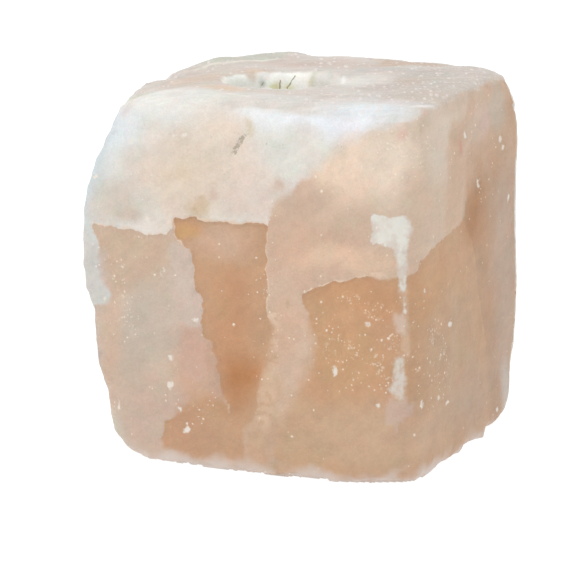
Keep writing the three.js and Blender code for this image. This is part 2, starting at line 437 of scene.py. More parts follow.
# White bruises, where the near edge and the face were knocked.
BIG_BRUISE = (
    (51.7, 96.1), (55.3, 95.2), (58.3, 94.8), (62.8, 95.6), (64.9, 95.5), (68.5, 94.3), (68.1, 91.6),
    (67.8, 86.4), (66.4, 85.5), (66.6, 81), (66.9, 76.3), (66.5, 70), (64.4, 67.5), (62, 69.5),
    (60.6, 75), (60.3, 79.6), (59.9, 81.3), (59.4, 84.1), (57.6, 84.4), (52.9, 84.9), (50, 86.4),
    (51.5, 89.5), (51.3, 92.5),
)
LOW_BRUISE = (
    (60, 46), (63, 47.5), (65, 46), (66.5, 40), (67, 36), (67, 31.5), (63, 30.5), (60.5, 33), (58, 34),
    (58.5, 38), (60.5, 42),
)
EDGE_LINE = ((64.2, 67.5), (65.6, 67.5), (65.8, 61), (64.4, 61))
SMALL_BRUISES = (
    Spot((-26, 39), 1.1), Spot((-26.5, 29), 1.4), Spot((-20.5, 13.5), 1.5), Spot((-17, 53), 1.4),
    Spot((-30, 69.4), 0.9, 1.6), Spot((50.3, 57.3), 1.4, 0.8), Spot((37, 40), 1.1, 1.9),
    Spot((102.5, 51.3), 2.1, 0.55), Spot((97, 42), 1.3, 0.7), Spot((118, 115.5), 1.5, 0.9),
    Spot((157.5, 108), 1.4, 1.2), Spot((160, 104.5), 1.2, 0.8), Spot((134, 95.7), 1.3, 1.6),
    Spot((167, 84.5), 1.5, 1.1), Spot((92.5, 27), 1.3, 0.7), Spot((101.5, 23), 1.7, 0.6),
    Spot((86, 48.7), 1.0, 1.2), Spot((155, 8), 1.3, 0.8), Spot((-36, 88), 1.2), Spot((54, 29), 0.9),
    Spot((77, 28), 1.6), Spot((-24, 118), 1.5, 0.6), Spot((-28, 117), 1.4, 0.6),
    Spot((-43, 115.5), 1.0, 1.6), Spot((-19, 120.5), 1.2, 0.5), Spot((-58, 101), 1.5, 0.6),
    Spot((-54.6, 57.6), 1.2, 0.8), Spot((-45, 70.5), 0.8), Spot((78, 68), 0.9),
    Spot((-48.3, 19), 1.0, 2.6), Spot((2, 85), 0.5), Spot((-23, 21), 1.1),
)

# Dust and tiny flecks, partly painted glints: the way round and the height, how wide and tall, and how thick
# they lie.
DUST = tuple(Stretch((around, height), (wide, tall), thick) for around, height, wide, tall, thick in (
    (42, 48, 18, 17, 0.45), (25, 55, 9, 8, 0.5), (61, 49, 14, 15, 0.45), (66, 119, 12, 11, 0.9),
    (-27, 123, 12, 5, 0.6), (53, 62, 6, 4, 1.2), (58.5, 51, 3, 10, 1.3), (46, 47, 3.5, 5, 1.1),
    (52, 45.5, 6, 4, 1.3), (72.5, 43, 4, 9, 1.1), (39.5, 47.5, 6, 7, 1.0), (43, 65, 6, 3.5, 0.8),
    (57, 39, 4, 7, 1.1), (-51, 72, 5, 3, 0.9), (-47, 64, 5, 4, 0.8), (-37, 81, 5, 3, 0.5),
    (70, 60, 4, 8, 0.6), (84, 52, 4, 5, 0.7), (-44, 53, 8, 13, 0.5), (-19, 23, 10, 9, 0.4),
    (92, 37, 12, 19, 0.4), (13, 63, 5, 30, 0.4), (-51, 68, 5, 11, 0.4), (121, 120, 12, 22, 0.25),
    (54.5, 118, 2, 4, 1.3), (58.5, 117.5, 4, 1.6, 1.2), (49.8, 111.5, 3.6, 1.6, 1.3),
    (70.5, 124, 3, 3, 1.3), (80.5, 117, 4, 3, 1.3), (61.5, 112.3, 1.6, 1.6, 1.3),
    (60, 103, 1.8, 1.6, 1.2), (70, 110, 5, 5, 0.8), (-28, 125.5, 11, 5, 0.8), (-24, 123, 3, 3, 1.3),
    (-1.5, 115.5, 3.5, 4, 0.8), (-41.9, 51.9, 2, 1.8, 1.3), (-45, 59, 2, 2, 1.2),
    (-38.2, 74.2, 3.4, 1, 1.25),
))

# Brown stains and the dark pit above the wedge.
STAINS = (
    Spot((76, 123), 1, 1.4), Spot((-18.5, 92.5), 1.2), Spot((-16, 96.5), 0.8), Spot((14, 4), 2),
    Spot((15, 43), 1.6), Spot((9, 84), 1.0), Spot((20.5, 62), 0.7, 2.5),
)
PIT_PATH = ((-2.5, 113.3), (-1.7, 114.6), (-0.4, 116.2), (0.8, 117.6))
PIT_TAIL = ((0.8, 118), (2.4, 119.2), (3.6, 119.4))

# Cracks in the hollow's far wall: turns round the hollow from the back in degrees, and heights.
CRACKS = (
    ((-27, 128.3), (-27.5, 124.5)),
    ((-21.5, 124.5), (-18, 126.5)),
    ((-18, 126.5), (-12, 130)),
    ((-46.5, 126.8), (-44.5, 127.8)),
)

# Clouds of colour on the hollow's wall: turn, height, reach, and colour.
WALL_CLOUDS = (
    ((-88, 126), (26, 8), (246, 248, 241)),
    ((-57, 130.5), (9, 2.4), (230, 216, 202)),
    ((-33, 125.5), (7, 2), (232, 230, 194)),
    ((-18, 124.6), (6, 2), (232, 230, 200)),
    ((8, 127.5), (5, 4), (218, 220, 190)),
    ((-45, 127), (3, 2), (216, 217, 211)),
    ((30, 128), (24, 8), (230, 226, 220)),
)


@dataclass(frozen=True)
class PinkSalt:
    """The finish of the salt: satin, grainy, and a little translucent. Sizes of grain are in millimetres."""

    crust: Colour = (228, 224, 216)
    top: Colour = (216, 208, 200)
    skin: Colour = (208, 184, 164)
    heart: Colour = (198, 160, 128)
    cream: Colour = (219, 203, 187)
    bruise: Colour = (229, 228, 220)
    bruise_shadow: Colour = (219, 210, 201)
    small_bruise: Colour = (236, 227, 216)
    # Bright grains of salt and dust, partly painted glints
    fleck: Colour = (246, 231, 213)
    fleck_on_crust: Colour = (238, 229, 225)
    stain: Colour = (186, 158, 124)
    pit: Colour = (140, 133, 106)
    # The hollow's pale wall, painted nearly white to lift the shade in the hollow
    hollow: Colour = (253, 253, 248)
    crack: Colour = (140, 132, 100)
    # The lips along the layers' edges: a painted highlight where the edges catch the light
    edge: Colour = (232, 206, 182)
    worn: Colour = (217, 204, 196)
    rim_tint: tuple[float, float, float] = (0.885, 0.885, 0.90)
    pink_tint: tuple[float, float, float] = (1.03, 0.96, 0.96)
    green_tint: tuple[float, float, float] = (0.95, 1.02, 0.98)
    brightness: float = 0.895
    gloss: float = 0.035
    grain: float = 0.6
    coarse_grain: float = 1.2
    ripple: float = 3.2
    leaning_streaks: float = 2.6
    lying_streaks: float = 2.4
    big_clouds: float = 11.0
    small_clouds: float = 3.4
    big_facets: float = 7.5
    small_facets: float = 3.1
    pink_clouds: float = 8.0
    green_clouds: float = 6.5
    clumps: float = 4.0
    frost: float = 1.6
    border: float = 0.12
    roughness: float = 0.55
    bump: float = 0.0012
    bend: float = 1.54
    translucence: float = 0.2
    depth: float = 0.003
    depth_by_colour: tuple[float, float, float] = (1.0, 0.62, 0.42)

    def dress(self, piece: bpy.types.Object) -> None:
        """Builds the finish and puts it on a piece.

        Args:
            piece: the piece, whose mesh carries the layers' colours and edges.
        """
        material = bpy.data.materials.new("pink_salt")
        graph = Graph(material)
        place = graph.node("ShaderNodeTexCoord").outputs["Object"]
        grain = graph.cloud(place, self.grain, 2)
        coarse = graph.cloud(place, self.coarse_grain, 2) - 0.5
        skin_edge, heart_edge, rim_edge = (
            (graph.number(name + "_edge") + coarse * 0.8) * graph.number(name + "_crisp")
            for name in ("skin", "heart", "rim"))
        colour = graph.layer("crust")
        colour = graph.mix(colour, graph.layer("skin"), skin_edge.between(-self.border, self.border))
        colour = graph.mix(colour, graph.layer("heart"), heart_edge.between(-self.border, self.border))
        colour = graph.tint(colour, self.rim_tint, rim_edge.between(-0.15, 0.15))
        colour = self.mottled(graph, colour, place)
        colour = self.lipped(graph, colour, place, {"skin_lip": skin_edge, "heart_lip": heart_edge})
        colour = self.marked(graph, colour, place, grain)
        flecks = self.flecks(graph, place, grain)
        on_crust = graph.number("upward").bigger(skin_edge.between(0.1, -0.1))
        bright = graph.mix(self.shade(self.fleck), self.shade(self.fleck_on_crust), on_crust)
        # Bright grains of salt and dust, partly painted glints
        colour = graph.mix(colour, bright, flecks * 0.85)
        ripple = graph.cloud(place, self.ripple, 3) * 0.5 + grain * 0.3 + flecks * 0.2
        bump = graph.node("ShaderNodeBump", inputs={"Strength": 0.4, "Distance": self.bump, "Height": ripple})
        graph.surface({
            "Base Color": colour,
            "Roughness": (grain - 0.5) * 0.2 - flecks * 0.15 + self.roughness,
            "Normal": bump.outputs["Normal"],
            "IOR": self.bend,
            "Subsurface Weight": self.translucence,
            "Subsurface Radius": self.depth_by_colour,
            "Subsurface Scale": self.depth,
        }, {"subsurface_method": "RANDOM_WALK"})
        piece.data.materials.clear()
        piece.data.materials.append(material)

    def mottled(self, graph: "Graph", colour: Socket, place: Socket) -> Socket:
        """Varies the colour in clouds and in streaks that follow the salt's grain, and paints shade on small
        crystal faces.

        Args:
            graph: the material's nodes.
            colour: the colour of the layers.
            place: the coordinates.

        Returns:
            The varied colour.
        """
        upward = graph.number("upward")
        leaning = graph.cloud(graph.stretched(place, (0, -38, 0), (5, 5, 1)), self.leaning_streaks, 3)
        lying = graph.cloud(graph.stretched(place, (0, 0, 20), (7, 1, 1)), self.lying_streaks, 3)
        streaks = (leaning + (lying - leaning) * upward - 0.5) * (upward * 0.16 + 0.14)
        place = graph.stretched(place, (0, 0, 0), (1, 2, 1))
        clouds = (graph.cloud(place, self.big_clouds, 4) - 0.5) * 0.14
        clouds += (graph.cloud(place, self.small_clouds, 3) - 0.5) * 0.12
        # Painted shade: small crystal faces, each a little lighter or darker
        facet_shade = (graph.facet_shade(place, self.big_facets) + graph.facet_shade(place, self.small_facets) * 0.8) * 0.055
        speckle = (graph.cloud(place, 0.6, 1) - 0.5) * 0.17 + (graph.cloud(place, 1.3, 2) - 0.5) * 0.12
        colour = graph.scale(colour, streaks + clouds + facet_shade + speckle + 1)
        pinker = graph.cloud(place, self.pink_clouds, 3).between(0.42, 0.68) * 0.7
        greener = graph.cloud(place, self.green_clouds, 3).between(0.5, 0.72) * 0.6
        return graph.tint(graph.tint(colour, self.pink_tint, pinker), self.green_tint, greener)

    def lipped(self, graph: "Graph", colour: Socket, place: Socket, edges: dict[str, "Value"]) -> Socket:
        """Adds the thin pale lips along the layers' edges: painted highlights where the edges catch the
        light.

        Args:
            graph: the material's nodes.
            colour: the colour so far.
            place: the coordinates.
            edges: the distance into each layer's window, by the name of its lip.

        Returns:
            The colour with its lips.
        """
        broken = graph.cloud(place, 2.2, 2).between(0.38, 0.52)
        for name, edge in edges.items():
            line = (edge + 0.35).absolute().between(0.5, 0.1)
            colour = graph.mix(colour, self.shade(self.edge), line * graph.number(name) * broken)
        return colour

    def marked(self, graph: "Graph", colour: Socket, place: Socket, grain: "Value") -> Socket:
        """Adds the worn foot, the bruises, the stains, the pit and the cracks.

        Args:
            graph: the material's nodes.
            colour: the colour so far.
            place: the coordinates.
            grain: the finest noise.

        Returns:
            The colour with its marks.
        """
        colour = graph.mix(colour, self.shade(self.worn), graph.number("worn") * grain.between(-0.2, 0.5))
        faint = graph.number("bruise_faint")
        bruise = graph.number("bruise_edge") + (graph.cloud(place, 1.7, 3) - 0.5) * 3.2
        bruise = bruise * (1 - faint * 0.7)
        milky = graph.cloud(place, 2.6, 3).between(0.25, 0.6) * faint * 0.6 + 0.94 - faint * 0.6
        shadow = graph.cloud(place, 5, 2).between(0.42, 0.62)
        white = graph.mix(self.shade(self.bruise), self.shade(self.bruise_shadow), shadow)
        white = graph.mix(white, self.shade(self.small_bruise), graph.number("bruise_white"))
        colour = graph.mix(colour, white, bruise.between(-0.2, 0.7) * milky)
        stain = graph.number("stain") * grain.between(0.1, 0.6) * 0.7
        colour = graph.mix(colour, self.shade(self.stain), stain)
        coarse = graph.cloud(place, self.coarse_grain, 2) - 0.5
        pit = graph.number("pit") + (grain - 0.5) * 1.6 + coarse * 1.2
        colour = graph.mix(colour, self.shade(self.pit), pit.between(0.45, 0.9) * 0.52)
        return graph.mix(colour, self.shade(self.crack), self.cracks(graph, place) * 0.75)

    def cracks(self, graph: "Graph", place: Socket) -> "Value":
        """The thin dark cracks in the hollow's wall, each between two places given as a turn and a height.

        Args:
            graph: the material's nodes.
            place: the coordinates.

        Returns:
            1 in a crack and 0 off it.
        """
        turn, height = graph.number("hollow_turn"), graph.number("hollow_height")
        wander = (graph.cloud(place, 1.3, 2) - 0.5) * 0.91
        lines = []
        for (start_turn, start_height), (end_turn, end_height) in CRACKS:
            along, rise = (end_turn - start_turn) * HOLLOW_ARC, end_height - start_height
            length = math.hypot(along, rise)
            off_turn, off_height = (turn - start_turn) * HOLLOW_ARC, height - start_height
            run = off_turn * (along / length) + off_height * (rise / length)
            aside = (off_turn * (-rise / length) + off_height * (along / length) + wander).absolute()
            inside = run.between(-0.3, 0.1) * run.between(length + 0.3, length - 0.1)
            lines.append(aside.between(0.32, 0.08) * inside)
        return reduce(Value.bigger, lines)

    def flecks(self, graph: "Graph", place: Socket, grain: "Value") -> "Value":
        """The dust and the bright grains, partly painted glints: small on the walls, drawn out on the top,
        and frost between them.

        Args:
            graph: the material's nodes.
            place: the coordinates.
            grain: the finest noise.

        Returns:
            1 on a grain and 0 off it.
        """
        dust, upward = graph.number("dust"), graph.number("upward")
        clumps = graph.cloud(place, self.clumps, 3).between(0.36, 0.56).bigger(dust.between(1.0, 1.2))
        small = graph.grains(place, 1.1, 0.23, dust * clumps * 0.7 + 0.008)
        big = graph.grains(place, 2.0, 0.19, dust * clumps * 0.6 + 0.03)
        drawn_out = graph.stretched(place, (0, 0, 23), (1, 3.2, 1))
        crumbs = graph.grains(drawn_out, 1.8, 0.26, upward * dust * 0.75)
        crumbs = crumbs.bigger(graph.grains(drawn_out, 3.0, 0.2, upward * dust * 0.6))
        frost = graph.cloud(place, self.frost, 3).between(0.56, 0.7) * dust.between(0.2, 0.9) * clumps * 0.5
        flecks = small.bigger(big) * grain.between(0.22, 0.42)
        return flecks.bigger(crumbs * grain.between(0.25, 0.5)).bigger(frost)

    def lit(self, colours: np.ndarray) -> np.ndarray:
        """The colour of the salt that looks like a linear colour in this light."""
        return np.clip(colours * self.brightness - self.gloss, 0, 1)

    def shade(self, colour: Colour) -> np.ndarray:
        """The linear colour of the salt that looks like a screen colour in this light."""
        return self.lit(linear(colour))


class Value:
    """A number that flows through a shader. An expression on it adds the Math nodes it needs."""

    def __init__(self, graph: "Graph", socket: Socket) -> None:
        """Wraps a socket of a graph."""
        self.graph = graph
        self.socket = socket

    def math(self, operation: str, *others: "Value | float") -> "Value":
        """The result of a Math node with this value and the others as its inputs."""
        node = self.graph.node("ShaderNodeMath", {"operation": operation}, dict(enumerate((self, *others))))
        return Value(self.graph, node.outputs[0])

    def __add__(self, other: "Value | float") -> "Value":
        """This plus the other."""
        return self.math("ADD", other)

    __radd__ = __add__

    def __sub__(self, other: "Value | float") -> "Value":
        """This minus the other."""
        return self.math("SUBTRACT", other)

    def __rsub__(self, other: float) -> "Value":
        """The other minus this."""
        return (self * -1) + other

    def __mul__(self, other: "Value | float") -> "Value":
        """This times the other."""
        return self.math("MULTIPLY", other)

    __rmul__ = __mul__

    def bigger(self, other: "Value | float") -> "Value":
        """The bigger of the two."""
        return self.math("MAXIMUM", other)

    def absolute(self) -> "Value":
        """The value without its sign."""
        return self.math("ABSOLUTE")

    def below(self, other: "Value | float") -> "Value":
        """1 where this is the smaller, and 0 elsewhere."""
        return self.math("LESS_THAN", other)

    def between(self, low: "Value | float", high: "Value | float") -> "Value":
        """Eases from 0 at low to 1 at high."""
        node = self.graph.node("ShaderNodeMapRange", {"interpolation_type": "SMOOTHSTEP"},
                               {"Value": self, "From Min": low, "From Max": high})
        return Value(self.graph, node.outputs["Result"])


class Graph:
    """The nodes of one material."""

    def __init__(self, material: bpy.types.Material) -> None:
        """Empties a material's node tree and takes it over."""
        material.use_nodes = True
        self.tree = material.node_tree
        self.tree.nodes.clear()

    def node(self, kind: str, settings: dict | None = None, inputs: dict | None = None) -> bpy.types.Node:
        """Adds a node.

        Args:
            kind: the node's type.
            settings: its own settings, set first.
            inputs: values or links for its sockets, by name or number.

        Returns:
            The new node.
        """
        node = self.tree.nodes.new(kind)
        for name, setting in (settings or {}).items():
            setattr(node, name, setting)
        for key, given in (inputs or {}).items():
            if isinstance(given, Value):
                given = given.socket
            if isinstance(given, Socket):
                self.tree.links.new(given, node.inputs[key])
            elif isinstance(given, np.ndarray):
                node.inputs[key].default_value = (*given, 1.0)
            else:
                node.inputs[key].default_value = given
        return node

    def surface(self, inputs: dict, settings: dict | None = None) -> None:
        """Adds the shader and makes it the material's surface."""
        shader = self.node("ShaderNodeBsdfPrincipled", settings, inputs)
        self.node("ShaderNodeOutputMaterial", inputs={"Surface": shader.outputs["BSDF"]})

    def number(self, name: str) -> Value:
        """The number that the mesh carries under a name."""
        return Value(self, self.node("ShaderNodeAttribute", {"attribute_name": name}).outputs["Fac"])

    def layer(self, name: str) -> Socket:
        """The colour that the mesh carries for a layer."""
        return self.node("ShaderNodeAttribute", {"attribute_name": name + "_colour"}).outputs["Color"]

    def mix(self, under: Socket | np.ndarray, over: Socket | np.ndarray, factor: Value,
            blend: str = "MIX") -> Socket:
        """Lays one colour over another, as far as the factor says."""
        inputs = {0: factor, 6: under, 7: over}
        return self.node("ShaderNodeMix", {"data_type": "RGBA", "blend_type": blend}, inputs).outputs[2]

    def tint(self, colour: Socket, tint: tuple[float, float, float], factor: Value) -> Socket:
        """A colour multiplied by a tint, as far as the factor says."""
        return self.mix(colour, np.array(tint), factor, "MULTIPLY")

    def scale(self, colour: Socket, by: Value) -> Socket:
        """A colour made lighter or darker by a number."""
        node = self.node("ShaderNodeVectorMath", {"operation": "SCALE"}, {"Vector": colour, "Scale": by})
        return node.outputs["Vector"]

    def stretched(self, place: Socket, turn: Point, stretch: Point) -> Socket:
        """The coordinates turned by degrees round the three axes, then stretched along the turned axes."""
        inputs = {"Vector": place, "Rotation": tuple(math.radians(angle) for angle in turn), "Scale": stretch}
        return self.node("ShaderNodeMapping", {"vector_type": "TEXTURE"}, inputs).outputs["Vector"]

    def cloud(self, place: Socket, across: float, detail: float, output: str = "Fac") -> Value:
        """Soft noise from 0 to 1, with lumps as many millimetres across as given and some finer detail."""
        inputs = {"Vector": place, "Scale": 1 / (across * MM), "Detail": detail}
        return Value(self, self.node("ShaderNodeTexNoise", inputs=inputs).outputs[output])

    def parts(self, colour: Socket) -> tuple[Value, Value]:
        """The first two parts of a colour."""
        outputs = self.node("ShaderNodeSeparateColor", inputs={"Color": colour}).outputs
        return Value(self, outputs[0]), Value(self, outputs[1])

    def facet_shade(self, place: Socket, across: float) -> Value:
        """Painted shade on flat crystal faces, each a little lighter or darker as if turned to or from the
        light, from -0.5 to 0.5.

        Args:
            place: the coordinates.
            across: their size in millimetres.

        Returns:
            The shade of each face.
        """
        bend = self.cloud(place, across, 2, "Color")
        moved = self.node("ShaderNodeVectorMath", {"operation": "MULTIPLY_ADD"},
                          {0: bend, 1: (across * MM * 0.7,) * 3, 2: place})
        cells = self.node("ShaderNodeTexVoronoi", {"feature": "SMOOTH_F1"},
                          {"Vector": moved.outputs["Vector"], "Scale": 1 / (across * MM), "Smoothness": 0.25})
        return self.parts(cells.outputs["Color"])[0] - 0.5

    def grains(self, place: Socket, apart: float, size: float, share: Value) -> Value:
        """Small bright grains, one in each cell that is picked.

        Args:
            place: the coordinates.
            apart: the size of a cell in millimetres.
            size: a grain's radius, as a part of its cell.
            share: which part of the cells has a grain.

        Returns:
            1 on a grain and 0 off it.
        """
        cells = self.node("ShaderNodeTexVoronoi", inputs={"Vector": place, "Scale": 1 / (apart * MM)})
        pick, other = self.parts(cells.outputs["Color"])
        radius = other * size + size * 0.5
        ragged = (self.cloud(place, apart * 0.35, 1) - 0.5) * (size * 1.5)
        away = Value(self, cells.outputs["Distance"]) + ragged
        return away.between(radius * 1.3, radius * 0.6) * pick.below(share) * (other * 0.6 + 0.4)


class Surface:
    """The fine mesh while it is painted: its points in millimetres and their places on the unrolled wall."""

    def __init__(self, mesh: bpy.types.Mesh, front: float, corner: float = 12, far_off: float = 400) -> None:
        """Reads the points of a mesh and unrolls its wall from the middle of the front.

        Args:
            mesh: the mesh to paint.
            front: where the front face is, in y.
            corner: how far from the middle, in x, the wall has turned fully to one side.
            far_off: how far away from everything else the back is laid.
        """
        self.mesh = mesh
        count = len(mesh.vertices)
        points, normals = np.empty(count * 3), np.empty(count * 3)
        mesh.vertices.foreach_get("co", points)
        mesh.vertex_normals.foreach_get("vector", normals)
        self.points, self.normals = points.reshape(-1, 3) / MM, normals.reshape(-1, 3)
        self.x, self.y, self.z = self.points.T
        self.back = ease(self.y, 53, 60)
        around = self.x + np.clip(self.x / corner, -1, 1) * (self.y - front)
        around += np.where(self.x < 0, -far_off, far_off) * self.back
        self.walls = np.stack([around, self.z], -1)
        self.jagged = self.walls + self.drift(4, (3.1, 8.6), 1.2)
        self.unseen = np.maximum(ease(self.y, -20, 25) * ease(self.x, 55, 30), self.back)
        self.upward = self.facing_up()

    def rough(self, across: float, seed: float, octaves: int = 2) -> np.ndarray:
        """Smooth noise at each point, about -1 to 1."""
        return rough(self.points, across, seed, octaves)

    def drift(self, across: float, seeds: Place, far: float, octaves: int = 3) -> np.ndarray:
        """How far noise moves each flat place, up to about as many millimetres as given, each way."""
        return np.stack([self.rough(across, seed, octaves) for seed in seeds], -1) * far

    def facing_up(self) -> np.ndarray:
        """1 on the block's top and 0 on its walls, with a ragged border where the top edge is worn round."""
        worn_round = ease(self.walls[:, 0], 66, 84)
        facing = self.normals[:, 2] + worn_round * (0.25 * self.rough(5, 9.9, 3) - 0.1)
        return ease(facing, 0.45, 0.8) * ease(self.z, 100, 118)

    def flat(self, layer: Layer) -> np.ndarray:
        """The flat places that a layer's patches use: x and y on the top, and the unrolled wall elsewhere."""
        return self.points[:, :2] if layer is Layer.TOP else self.walls

    def store(self, name: str, values: np.ndarray) -> None:
        """Lays one number for each point on the mesh, under a name."""
        self.mesh.attributes.new(name, "FLOAT", "POINT").data.foreach_set("value", values)

    def store_colour(self, name: str, colours: np.ndarray) -> None:
        """Lays one linear colour for each point on the mesh, under a name."""
        opaque = np.hstack([colours, np.ones((len(colours), 1))])
        self.mesh.attributes.new(name, "FLOAT_COLOR", "POINT").data.foreach_set("color", opaque.ravel())

    def read(self, name: str) -> np.ndarray:
        """Reads back the numbers that the mesh carries.

        Args:
            name: what they were stored under.

        Returns:
            One number for each point.
        """
        values = np.empty(len(self.mesh.vertices))
        self.mesh.attributes[name].data.foreach_get("value", values)
        return values


@dataclass(frozen=True)
class Hollow:
    """The round hollow in the top: its middle and radius, and where its white wall, painted brighter to lift
    the hollow's shade, fades beyond the rim.
    """

    centre: Place = (-5.5, -6.5)
    radius: float = 20.0
    rim: tuple[float, float] = (3.0, 1.4)
    floor: tuple[float, float] = (100.0, 104.0)

    def inside(self, surface: Surface) -> np.ndarray:
        """1 on the hollow's wall and floor, 0 outside it."""
        away = np.linalg.norm(surface.points[:, :2] - self.centre, axis=1)
        return ease(away, *(self.radius + beyond for beyond in self.rim)) * ease(surface.z, *self.floor)

    def turn(self, surface: Surface) -> np.ndarray:
        """How far round the hollow from the back each point is, in degrees."""
        return np.degrees(np.arctan2(surface.x - self.centre[0], surface.y - self.centre[1]))

    def paint(self, surface: Surface) -> None:
        """Lays on the mesh where each point of the hollow's wall is, for the cracks."""
        surface.store("hollow_turn", np.where(self.inside(surface) > 0, self.turn(surface), 180))
        surface.store("hollow_height", surface.z)

    def colours(self, surface: Surface, ground: Colour) -> np.ndarray:
        """The colours of the hollow's wall: pale salt, with its ground painted nearly white to lift the shade
        in the hollow.

        Args:
            surface: the mesh's points.
            ground: the wall's main colour.

        Returns:
            One linear colour for each point.
        """
        wall = np.stack([self.turn(surface), surface.z], -1) + surface.drift(4, (5.2, 6.1), 3, 2) * (1, 0.3)
        colours = np.tile(linear(ground), (len(wall), 1))
        for centre, reach, colour in WALL_CLOUDS:
            colours += (linear(colour) - colours) * near(wall, centre, reach, 1.4, 0.4)[:, None]
        return colours


@dataclass(frozen=True)
class Layers:
    """The salt's three layers: where the edges of the windows in them run, and the colours in them.

    Where the photograph doesn't show the block, noise of the hidden size decides where the windows are.
    """

    hidden: float = 62.0
    hidden_heart: float = 55.0
    hidden_depth: float = 40.0
    lid: float = 14.0
    lid_behind: float = 60.0

    def paint(self, surface: Surface, hollow: Hollow, finish: PinkSalt) -> None:
        """Lays the distances to the layers' edges on the mesh, and the layers' colours.

        Args:
            surface: the mesh that takes them.
            hollow: the hollow, which has a wall of its own colour.
            finish: the salt's colours.
        """
        blunt = 1 + 30 * surface.unseen * ease(surface.rough(30, 12.1), -0.1, 0.35)
        for layer, edge in self.edges(surface, hollow).items():
            surface.store(layer.value + "_edge", np.clip(edge, -EDGE_REACH, EDGE_REACH))
            surface.store(layer.value + "_crisp", SHARP / self.blur(surface, layer) / blunt)
        for layer in LIPS:
            surface.store(layer.value + "_lip", self.lip(surface, layer) * (surface.y < 0))
        surface.store("upward", surface.upward)
        for name, colours in self.colours(surface, hollow, finish).items():
            surface.store_colour(name, finish.lit(colours))

    def edges(self, surface: Surface, hollow: Hollow) -> dict[Layer, np.ndarray]:
        """The distance into each layer's windows.

        Args:
            surface: the mesh's points.
            hollow: the hollow, which no window reaches into.

        Returns:
            One distance for each point, for each layer, positive where the layer shows.
        """
        jagged, unseen, warp = surface.jagged, surface.unseen, surface.jagged - surface.walls
        hidden = surface.rough(self.hidden, 5.5, 4) * self.hidden_depth + warp[:, 0]
        deeper = surface.rough(self.hidden_heart, 21.5, 4) * self.hidden_depth + warp[:, 1]
        skin = distance_in(jagged, SKIN_WINDOW) * (1 - unseen) + (hidden + 5) * unseen
        heart = np.maximum(distance_in(jagged, WEDGE), distance_in(jagged, RIGHT_WINDOW)) * (1 - unseen)
        heart = np.minimum(heart + (deeper + 2) * unseen, skin)
        closed = self.closed(surface, hollow)
        rim = np.where(unseen + surface.upward > 0.5, -EDGE_REACH, distance_in(jagged, RIM_WINDOW))
        return {Layer.SKIN: skin - closed, Layer.HEART: heart - closed, Layer.RIM: rim}

    def closed(self, surface: Surface, hollow: Hollow) -> np.ndarray:
        """How firmly the crust closes over the other layers, on the top and behind its back edges.

        Args:
            surface: the mesh's points.
            hollow: the hollow, which is closed too.

        Returns:
            A distance in millimetres for each point, 0 where the windows may be open.
        """
        behind = np.maximum(ease(surface.x, 50, 30), ease(surface.y, 50, 57))
        ragged = 9 * surface.rough(17, 15.3, 3) * ease(surface.y, 54, 60)
        behind *= ease(surface.y, 5, 30) * ease(surface.z + ragged, 116, 124)
        return self.lid * np.maximum(surface.upward, hollow.inside(surface)) + self.lid_behind * behind

    def blur(self, surface: Surface, layer: Layer) -> np.ndarray:
        """How wide a layer's edge is blurred.

        Args:
            surface: the mesh's points.
            layer: the layer.

        Returns:
            One width for each point, in millimetres.
        """
        width = np.full(len(surface.walls), SHARP)
        for soft in SOFT_EDGES[layer]:
            width += (soft.amount - width) * near(surface.walls, soft.centre, soft.reach, 1.25, 0.6)
        return width

    def lip(self, surface: Surface, layer: Layer) -> np.ndarray:
        """How strongly a layer's edge shows as a thin pale line, a painted highlight, at each point."""
        return reduce(np.maximum, [
            lip.amount * near(surface.walls, lip.centre, lip.reach, 1.2, 0.7) for lip in LIPS[layer]])

    def colours(self, surface: Surface, hollow: Hollow, finish: PinkSalt) -> dict[str, np.ndarray]:
        """The three layers' own colours.

        Args:
            surface: the mesh's points.
            hollow: the hollow, whose wall is part of the crust.
            finish: the salt's colours.

        Returns:
            One linear colour for each point, for each layer.
        """
        drift, small_drift = surface.drift(18, (2.2, 6.6), 4), surface.drift(4, (4.2, 7.9), 1.2)
        colours = {}
        for layer, patches in PATCHES.items():
            colour = np.tile(linear(getattr(finish, layer.value)), (len(surface.points), 1))
            for patch in patches:
                weight = near(surface.flat(layer) + drift, patch.centre, patch.reach, 1.5, 0.2)
                colour += (linear(patch.colour) - colour) * weight[:, None]
            colours[layer] = colour
        cream = ease(surface.rough(38, 14.2, 3), -0.35, 0.3) * ease(surface.y, -10, 30)
        colours[Layer.CRUST] += (linear(finish.cream) - colours[Layer.CRUST]) * cream[:, None]
        for veil in VEILS:
            inside = distance_in(surface.flat(veil.layer) + small_drift, veil.outline)
            weight = veil.strength * ease(inside, -veil.blur, veil.blur)
            colours[veil.layer] += (linear(veil.colour) - colours[veil.layer]) * weight[:, None]
        crust = colours[Layer.CRUST] + (colours[Layer.TOP] - colours[Layer.CRUST]) * surface.upward[:, None]
        # The veins; those along the front's top edge are painted highlights
        for vein in VEINS:
            away = to_line(surface.points, vein.path) + 0.4 * small_drift[:, 0]
            weight = vein.strength * ease(away, vein.width * 2, vein.width * 0.5)
            crust += (linear(vein.colour) - crust) * weight[:, None]
        crust += (hollow.colours(surface, finish.hollow) - crust) * hollow.inside(surface)[:, None]
        skin, heart = colours[Layer.SKIN], colours[Layer.HEART]
        return {"crust_colour": crust, "skin_colour": skin, "heart_colour": heart}


